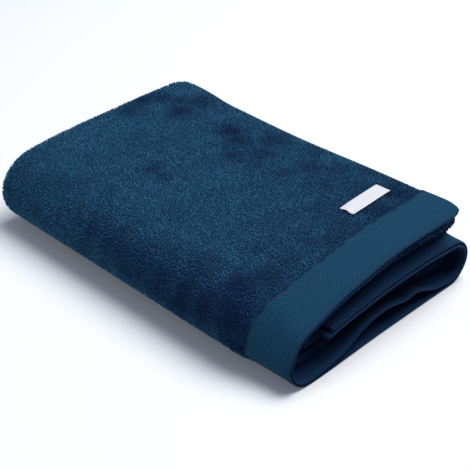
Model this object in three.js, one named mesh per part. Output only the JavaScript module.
// A folded bath towel of cotton terry, in millimetres, +Z up.
// The origin is under the middle of the folded towel, on the surface that it lies on.
// +X runs along the folded width, from the big left fold to the right fold.
// -Y is the near end, where the two hems with their flat-woven bands lie together.
//
// The cloth was folded in half twice along its length. That gives a strip of four plies.
// The strip was then folded in thirds across its width, the last third over the first two.
// So one sheet goes back and forth through twelve layers, a little apart.
import * as THREE from "three";

// The folded towel
const WIDTH = 240;
const LENGTH = 358;
const PLY_PITCH = 6.35;
const TERRY_THICK = 5.2;
const NEAR = -LENGTH / 2;
const FAR = LENGTH / 2;

// The flat-woven band at each end of the cloth, and its turned hem
const BAND_LONG = 43;
const BAND_THICK = 1.8;
const HEM_LONG = 8;
const HEM_THICK = 2.4;
const HEM_PAIR_PITCH = 3.0;
const HEM_BULGE = 0.3;

// The woven label, sewn to the terry beside the band
const LABEL = { x: 56, y: -110, long: 50, wide: 14.8, thick: 1, turn: 2.4, gap: 0.35 };

// Radii of the outermost ply's middle where the strip turns, and the middles of those turns
const LEFT_RADIUS = 5.5 * PLY_PITCH;
const RIGHT_RADIUS = 3.5 * PLY_PITCH;
const LEFT_TURN_X = -WIDTH / 2 + LEFT_RADIUS + TERRY_THICK / 2;
const RIGHT_TURN_X = WIDTH / 2 - RIGHT_RADIUS - TERRY_THICK / 2;
const FAR_TURN_Y = FAR - 1.5 * PLY_PITCH - TERRY_THICK / 2;

// Heights of the middle of the ply on the floor, and of the outermost ply of the middle layer
const FLOOR_PLY_Z = TERRY_THICK / 2;
const MIDDLE_TOP_Z = FLOOR_PLY_Z + 2 * RIGHT_RADIUS;

// Stations along the strip's way round: 0 to 1 is the top layer from its free selvedge,
// 1 to 2 the left fold, 2 to 3 the layer on the floor, 3 to 4 the right fold,
// and 4 to 5 the middle layer up to its free selvedge.
const STEPS_IN_STRETCH = [8, 8, 9, 8, 6];

// What changes along that way:
// terryBack is how far the near terry fold stands back from the hems,
// innerHemBack how far the second hem stands back from the first,
// bandSink how far the band's face lies under the face of the pile,
// puff how far the near terry fold swells where the bands leave it room,
// bandShift how far the band's edge wanders, and hemOut how far the hems reach forward.
const ALONG_WIDTH = [
  { station: 0.0, terryBack: 7, innerHemBack: 8, bandSink: 0.8, puff: 4, bandShift: 1.5, hemOut: 0 },
  { station: 0.2, terryBack: 7.5, innerHemBack: 7.5, bandSink: 0.9, puff: 4, bandShift: -0.5, hemOut: 0 },
  { station: 0.38, terryBack: 8, innerHemBack: 6.5, bandSink: 0.9, puff: 4, bandShift: 0.7, hemOut: 0 },
  { station: 0.5, terryBack: 8.3, innerHemBack: 0.8, bandSink: 0.9, puff: 4, bandShift: -0.8, hemOut: 0 },
  { station: 0.62, terryBack: 8.6, innerHemBack: 0, bandSink: 1, puff: 4, bandShift: -2.2, hemOut: 0 },
  { station: 0.8, terryBack: 9, innerHemBack: 0, bandSink: 1, puff: 4, bandShift: -4, hemOut: 0 },
  { station: 1.0, terryBack: 10, innerHemBack: 0, bandSink: 1, puff: 3.6, bandShift: -3.6, hemOut: 0 },
  { station: 1.4, terryBack: 12, innerHemBack: 0, bandSink: 1.1, puff: 3, bandShift: -1, hemOut: 0.6 },
  { station: 1.7, terryBack: 12, innerHemBack: 0, bandSink: 1.2, puff: 2, bandShift: 0, hemOut: 2 },
  { station: 2.0, terryBack: 12, innerHemBack: 0, bandSink: 0, puff: 0.6, bandShift: 0, hemOut: 2.5 },
  { station: 2.5, terryBack: 11, innerHemBack: 0, bandSink: 0, puff: 0, bandShift: 0, hemOut: 0.5 },
  { station: 3.0, terryBack: 12, innerHemBack: 0, bandSink: 0, puff: 0.6, bandShift: 0, hemOut: 0 },
  { station: 3.3, terryBack: 13, innerHemBack: 0, bandSink: 1, puff: 2, bandShift: 0, hemOut: 0 },
  { station: 3.7, terryBack: 13, innerHemBack: 0, bandSink: 1, puff: 3, bandShift: 0, hemOut: 0 },
  { station: 4.2, terryBack: 12, innerHemBack: 0, bandSink: 1, puff: 3.5, bandShift: 0, hemOut: 0 },
  { station: 5.0, terryBack: 11, innerHemBack: 0, bandSink: 1, puff: 3.5, bandShift: 0, hemOut: 0 },
];
const HEM_REACH = 2.5;

// Where the top layer's free selvedge lies, along the towel
const TOP_SELVEDGE = [
  { y: -179, x: 101 },
  { y: -175, x: 103.5 },
  { y: -162, x: 106 },
  { y: -131, x: 103.5 },
  { y: -64, x: 102.5 },
  { y: 8, x: 101 },
  { y: 93, x: 100.5 },
  { y: 125, x: 104.5 },
  { y: 151, x: 107 },
  { y: 179, x: 106.5 },
];

// How the free selvedges are stepped from ply to ply, by depth under the outermost ply
const SELVEDGE_STEPS = [
  { depth: -3, topMore: 0, middleX: -56 },
  { depth: 2.6, topMore: 0.5, middleX: -65 },
  { depth: 6.35, topMore: 1.5, middleX: -72 },
  { depth: 12.7, topMore: 4, middleX: -77 },
  { depth: 19.05, topMore: 5, middleX: -80 },
];

// How much of its full height the stack keeps, across the towel:
// it lies lower at the left, where the middle layer doesn't reach, and lowest at the hems
const HEIGHT_KEPT = [
  { x: -118, body: 0.87, nearEnd: 0.58 },
  { x: -109, body: 0.877, nearEnd: 0.585 },
  { x: -101, body: 0.885, nearEnd: 0.61 },
  { x: -85, body: 0.907, nearEnd: 0.672 },
  { x: -66, body: 0.94, nearEnd: 0.752 },
  { x: -48, body: 0.967, nearEnd: 0.828 },
  { x: -33, body: 0.978, nearEnd: 0.87 },
  { x: -18, body: 0.988, nearEnd: 0.905 },
  { x: -4, body: 0.994, nearEnd: 0.945 },
  { x: 11, body: 0.997, nearEnd: 0.975 },
  { x: 40, body: 1, nearEnd: 1 },
  { x: 120, body: 1, nearEnd: 1 },
];

// How far the inner hem of the layer on the floor stands up in a wave
const HEM_WAVE = [
  { x: -84, lift: 0 },
  { x: -58, lift: 2.5 },
  { x: -45, lift: 5 },
  { x: -28, lift: 12.5 },
  { x: -8, lift: 17.5 },
  { x: 6, lift: 18 },
  { x: 22, lift: 15.5 },
  { x: 35, lift: 12.5 },
  { x: 47, lift: 13.8 },
  { x: 63, lift: 8 },
  { x: 76, lift: 3 },
  { x: 97, lift: 0 },
];

// A smooth step from 0 to 1
function smooth(share) {
  const t = THREE.MathUtils.clamp(share, 0, 1);
  return t * t * (3 - 2 * t);
}

// A smooth curve through one column of a table, without overshoot between its rows
function curveThrough(rows, at, column) {
  const slopes = rows.slice(1).map((row, i) => (row[column] - rows[i][column]) / (row[at] - rows[i][at]));
  const tangent = (i) => {
    if (i === 0 || i === rows.length - 1) {
      return slopes[Math.min(i, slopes.length - 1)];
    }
    const [before, after] = [slopes[i - 1], slopes[i]];
    return before * after > 0 ? (2 * before * after) / (before + after) : 0;
  };
  return (place) => {
    const later = rows.findIndex((row) => row[at] > place);
    const i = later < 0 ? rows.length - 2 : Math.max(later - 1, 0);
    const span = rows[i + 1][at] - rows[i][at];
    const t = THREE.MathUtils.clamp((place - rows[i][at]) / span, 0, 1);
    const start = (1 + 2 * t) * (1 - t) ** 2 * rows[i][column] + t * (1 - t) ** 2 * span * tangent(i);
    return start + smooth(t) * rows[i + 1][column] + t * t * (t - 1) * span * tangent(i + 1);
  };
}

const terryBack = curveThrough(ALONG_WIDTH, "station", "terryBack");
const innerHemBack = curveThrough(ALONG_WIDTH, "station", "innerHemBack");
const bandSink = curveThrough(ALONG_WIDTH, "station", "bandSink");
const puff = curveThrough(ALONG_WIDTH, "station", "puff");
const bandShift = curveThrough(ALONG_WIDTH, "station", "bandShift");
const hemOut = curveThrough(ALONG_WIDTH, "station", "hemOut");
const topSelvedge = curveThrough(TOP_SELVEDGE, "y", "x");
const topMore = curveThrough(SELVEDGE_STEPS, "depth", "topMore");
const middleSelvedge = curveThrough(SELVEDGE_STEPS, "depth", "middleX");
const bodyHeight = curveThrough(HEIGHT_KEPT, "x", "body");
const nearHeight = curveThrough(HEIGHT_KEPT, "x", "nearEnd");
const hemWave = curveThrough(HEM_WAVE, "x", "lift");

// The places along a ply that ends in a hem: the hem, the band, the step up to the pile, the pile
const HEM_PLACES = [0, HEM_LONG - 0.5, HEM_LONG + 0.5, 17, 27, 36, BAND_LONG - 0.7, BAND_LONG + 2];
const PILE_PLACES = [-122, -100, -55, 0, 60, 115, FAR_TURN_Y];
const TERRY_FOLD_PLACES = [-142, -152];

// Where along the towel each change of shape starts, growing until the near or the far end
const HEMS_LIE_LOW_FROM = -118;
const HEM_WAVE_FROM = -150;
const LEFT_DRAWN_IN_FROM = -105;
const HEMS_REACH_FROM = -140;
const HEM_CORNER_FROM = -155;
const FAR_CORNER_FROM = 120;

// How much the stack loses at the hems, where the thin bands lie: less at the left, more at the right
const BANDS_THINNER = { left: 2.5, more: 2.5, fromX: 60, toX: 105 };

// How far the near end is drawn in at its left and right folds
const LEFT_DRAWN_IN = { by: 9, fromX: -90, toX: -118 };
const RIGHT_DRAWN_IN = { by: 1.5, fromX: 100, toX: 118 };

// The free corner of the top hem slants back, and the free far corner is rounded
const HEM_CORNER = { by: 4, fromX: 92, toX: 104 };
const FAR_CORNER = { by: 12, fromX: 88, toX: 118 };

// The gentle roll of the whole top, as a share of the height, and the height that it grows from
const ROLL = { share: 0.006, fromZ: 20, toZ: 70 };

// The wave in the floor layer's inner hem lifts what is over the outer hem, less and less upwards
const WAVE_LIFTS = { fromZ: 2.3, fullZ: 2.9, fadesFromZ: 6, goneZ: 40 };

// How far the pile's step at the band's edge is felt, and the width of its wandering
const PILE_STEP = { before: 0.5, long: 2.5 };
const BAND_EDGE_SPREAD = 22;

// The near terry fold swells over its last stretch, before the hems
const PUFF = { from: NEAR + 46, long: 35 };

// A smooth rise from 0 at one place to 1 at another, on either side of it
function ramp(from, to, place) {
  return smooth((place - from) / (to - from));
}

// How much the near terry fold swells at a place along it
function swelling(station, y) {
  return puff(station) * ramp(PUFF.from, PUFF.from - PUFF.long, y);
}

// One ply from its hem to the far turn, as points with a y, a depth under the outermost ply
// and half the cloth's thickness there
function hemPly(station, isOuter) {
  const places = HEM_PLACES.map((place) => NEAR + place).concat(PILE_PLACES);
  return places.map((y) => {
    const pileStart = NEAR + BAND_LONG - PILE_STEP.before;
    const pile = ramp(pileStart, pileStart + PILE_STEP.long, y);
    const hem = ramp(NEAR + HEM_LONG, NEAR + HEM_LONG - 1, y);
    const thick = BAND_THICK + (TERRY_THICK - BAND_THICK) * pile + (HEM_THICK - BAND_THICK) * hem;
    const sink = bandSink(station);
    const face = -TERRY_THICK / 2 + sink * (1 - pile) - HEM_BULGE * hem * Math.min(1, sink);
    const outerDepth = face + thick / 2;
    if (isOuter) {
      return { y, depth: outerDepth, half: thick / 2, facing: -1 };
    }
    const closing = ramp(NEAR + BAND_LONG, NEAR, y);
    const depth = PLY_PITCH + (outerDepth + HEM_PAIR_PITCH - PLY_PITCH) * closing;
    return { y: y + innerHemBack(station) * closing, depth, half: thick / 2, facing: 1 };
  });
}

// A half turn of the cloth in the strip's section, without its two end points
function halfTurn(y, depth, radius, towards, steps) {
  const points = [];
  for (let i = 1; i < steps; i += 1) {
    const angle = (Math.PI * i) / steps;
    const point = { y: y + Math.abs(radius) * towards * Math.sin(angle), half: TERRY_THICK / 2 };
    points.push({ ...point, depth: depth - radius * Math.cos(angle) });
  }
  return points;
}

// The strip's lengthwise section at a station: outer hem, far turn, near terry fold,
// far turn inside the first one, and inner hem
function stripSection(station) {
  const front = NEAR + terryBack(station) + TERRY_THICK / 2;
  const radius = (PLY_PITCH + swelling(station, front + PLY_PITCH)) / 2;
  const foldY = front + radius;
  const placesBack = [...PILE_PLACES].reverse().concat(TERRY_FOLD_PLACES, foldY);
  const innerPly = placesBack.map((y) => ({ y, depth: 3 * PLY_PITCH, half: TERRY_THICK / 2 }));
  const third = (y) => ({ y, depth: 2 * PLY_PITCH - swelling(station, y), half: TERRY_THICK / 2 });
  const nearDepth = 3 * PLY_PITCH - (PLY_PITCH + swelling(station, foldY)) / 2;
  return [
    ...hemPly(station, true),
    ...halfTurn(FAR_TURN_Y, 1.5 * PLY_PITCH, 1.5 * PLY_PITCH, 1, 8),
    ...innerPly,
    ...halfTurn(foldY, nearDepth, nearDepth - 3 * PLY_PITCH, -1, 5),
    ...placesBack.reverse().map(third),
    ...halfTurn(FAR_TURN_Y, 1.5 * PLY_PITCH, -0.5 * PLY_PITCH, 1, 4),
    ...hemPly(station, false).reverse(),
  ];
}

// Where a depth in the strip lies across the towel, before the stack settles
function wayRound(station, y, depth) {
  const stretch = Math.min(Math.floor(station), 4);
  const share = station - stretch;
  const angle = Math.PI * share;
  const left = LEFT_RADIUS - depth;
  const right = RIGHT_RADIUS - depth;
  const lerp = THREE.MathUtils.lerp;
  const top = topSelvedge(y) + topMore(depth);
  return [
    () => [lerp(top, LEFT_TURN_X, share), FLOOR_PLY_Z + 11 * PLY_PITCH - depth],
    () => [LEFT_TURN_X - left * Math.sin(angle), FLOOR_PLY_Z + LEFT_RADIUS + left * Math.cos(angle)],
    () => [lerp(LEFT_TURN_X, RIGHT_TURN_X, share), FLOOR_PLY_Z + depth],
    () => [RIGHT_TURN_X + right * Math.sin(angle), FLOOR_PLY_Z + RIGHT_RADIUS - right * Math.cos(angle)],
    () => [lerp(RIGHT_TURN_X, middleSelvedge(depth), share), MIDDLE_TOP_Z - depth],
  ][stretch]();
}

// How the soft stack lies: lower at the left and at the hems, a wave in the inner hem,
// the near end drawn in round its folds, and the free corners slanted and rounded
function settled(station, x, y, z) {
  const nearness = ramp(HEMS_LIE_LOW_FROM, NEAR, y);
  const aboveMiddle = (z - MIDDLE_TOP_Z) / (3.5 * PLY_PITCH);
  const inLowerStack = aboveMiddle < 0 ? z / MIDDLE_TOP_Z : 1 - smooth(aboveMiddle);
  const thinner = BANDS_THINNER.left + BANDS_THINNER.more * ramp(BANDS_THINNER.fromX, BANDS_THINNER.toX, x);
  let height = z - thinner * nearness * inLowerStack;
  height *= THREE.MathUtils.lerp(bodyHeight(x), nearHeight(x), nearness);
  const roll = Math.sin((x + 30) / 27 + y / 41) + Math.sin(y / 33 - x / 55);
  height *= 1 + ROLL.share * roll * ramp(ROLL.fromZ, ROLL.toZ, height);
  const fading = THREE.MathUtils.mapLinear(z, WAVE_LIFTS.fadesFromZ, WAVE_LIFTS.goneZ, 1, 0);
  const lifted = ramp(WAVE_LIFTS.fromZ, WAVE_LIFTS.fullZ, z) * THREE.MathUtils.clamp(fading, 0, 1);
  height += hemWave(x) * ramp(HEM_WAVE_FROM, NEAR, y) * lifted;

  const drawnIn = LEFT_DRAWN_IN.by * ramp(LEFT_DRAWN_IN.fromX, LEFT_DRAWN_IN.toX, x);
  const across = x + drawnIn * ramp(LEFT_DRAWN_IN_FROM, NEAR, y)
    - RIGHT_DRAWN_IN.by * ramp(RIGHT_DRAWN_IN.fromX, RIGHT_DRAWN_IN.toX, x) * nearness;

  const fromBandEdge = (y - NEAR - BAND_LONG) / BAND_EDGE_SPREAD;
  let along = y + bandShift(station) * Math.exp(-fromBandEdge * fromBandEdge);
  along -= hemOut(station) * ramp(HEMS_REACH_FROM, NEAR, y);
  if (station < 1) {
    along += HEM_CORNER.by * ramp(HEM_CORNER.fromX, HEM_CORNER.toX, x) * ramp(HEM_CORNER_FROM, NEAR, y);
  }
  along -= FAR_CORNER.by * ramp(FAR_CORNER.fromX, FAR_CORNER.toX, x) ** 2 * ramp(FAR_CORNER_FROM, FAR, y);
  return new THREE.Vector3(across, along + HEM_REACH / 2, Math.max(height, 0));
}

// Both faces of the sheet at one station, as two rows of points
function facesAt(station) {
  const section = stripSection(station);
  const faces = [[], []];
  section.forEach((point, i) => {
    const before = section[Math.max(i - 1, 0)];
    const after = section[Math.min(i + 1, section.length - 1)];
    const run = Math.hypot(after.y - before.y, after.depth - before.depth);
    let across = { y: (after.depth - before.depth) / run, depth: -(after.y - before.y) / run };
    if (point.facing) {
      across = { y: 0, depth: point.facing };
    }
    [1, -1].forEach((side, face) => {
      const y = point.y + across.y * point.half * side;
      const depth = point.depth + across.depth * point.half * side;
      const [x, z] = wayRound(station, y, depth);
      faces[face].push(settled(station, x, y, z));
    });
  });
  return faces;
}

// A closed body from two grids of points that face away from each other
function sheetGeometry(outerRows, innerRows) {
  const [rows, columns] = [outerRows.length, outerRows[0].length];
  const innerStart = rows * columns;
  const outer = (i, j) => i * columns + j;
  const inner = (i, j) => innerStart + i * columns + j;
  const triangles = [];
  const quad = (a, b, c, d) => triangles.push(a, c, b, a, d, c);
  for (let i = 0; i < rows - 1; i += 1) {
    for (let j = 0; j < columns - 1; j += 1) {
      quad(outer(i, j), outer(i + 1, j), outer(i + 1, j + 1), outer(i, j + 1));
      quad(inner(i, j), inner(i, j + 1), inner(i + 1, j + 1), inner(i + 1, j));
    }
  }
  for (let j = 0; j < columns - 1; j += 1) {
    const last = rows - 1;
    quad(outer(0, j), outer(0, j + 1), inner(0, j + 1), inner(0, j));
    quad(outer(last, j), inner(last, j), inner(last, j + 1), outer(last, j + 1));
  }
  for (let i = 0; i < rows - 1; i += 1) {
    const last = columns - 1;
    quad(outer(i, 0), inner(i, 0), inner(i + 1, 0), outer(i + 1, 0));
    quad(outer(i, last), outer(i + 1, last), inner(i + 1, last), inner(i, last));
  }
  const geometry = new THREE.BufferGeometry().setFromPoints([...outerRows.flat(), ...innerRows.flat()]);
  geometry.setIndex(triangles);
  geometry.computeVertexNormals();
  return geometry;
}

// The whole towel: one sheet, swept through all the stations
function towelGeometry() {
  const stations = STEPS_IN_STRETCH.flatMap((steps, stretch) =>
    Array.from({ length: steps }, (_, i) => stretch + i / steps),
  );
  const faces = [...stations, 5].map(facesAt);
  return sheetGeometry(
    faces.map((pair) => pair[0]),
    faces.map((pair) => pair[1]),
  );
}

// The height of the top pile at a place, found along the outermost ply
function topOfPile(x, y) {
  const alongPly = y - HEM_REACH / 2;
  const top = topSelvedge(alongPly);
  const station = (top - x) / (top - LEFT_TURN_X);
  return settled(station, x, alongPly, 11 * PLY_PITCH + TERRY_THICK).z;
}

// The label: a thin slab that lies on the pile and follows it
function labelGeometry() {
  const turn = THREE.MathUtils.degToRad(LABEL.turn);
  const rowAt = (across, lift) =>
    Array.from({ length: 9 }, (_, i) => {
      const along = LABEL.long * (i / 8 - 0.5);
      const x = LABEL.x + along * Math.cos(turn) - across * Math.sin(turn);
      const y = LABEL.y + along * Math.sin(turn) + across * Math.cos(turn);
      return new THREE.Vector3(x, y, topOfPile(x, y) + lift);
    });
  const acrosses = [-0.5, 0, 0.5].map((share) => share * LABEL.wide);
  const lowerFace = acrosses.map((across) => rowAt(across, LABEL.gap));
  const upperFace = acrosses.map((across) => rowAt(across, LABEL.gap + LABEL.thick));
  return sheetGeometry(upperFace, lowerFace);
}

const terryCotton = new THREE.MeshStandardMaterial({ color: 0x1f4a6c, roughness: 0.95, metalness: 0 });
const labelRibbon = new THREE.MeshStandardMaterial({ color: 0xeeeef4, roughness: 0.6, metalness: 0 });

const towel = new THREE.Mesh(towelGeometry(), terryCotton);
towel.name = "towel";

const label = new THREE.Mesh(labelGeometry(), labelRibbon);
label.name = "label";

const foldedTowel = new THREE.Group();
foldedTowel.add(towel, label);

export default foldedTowel;
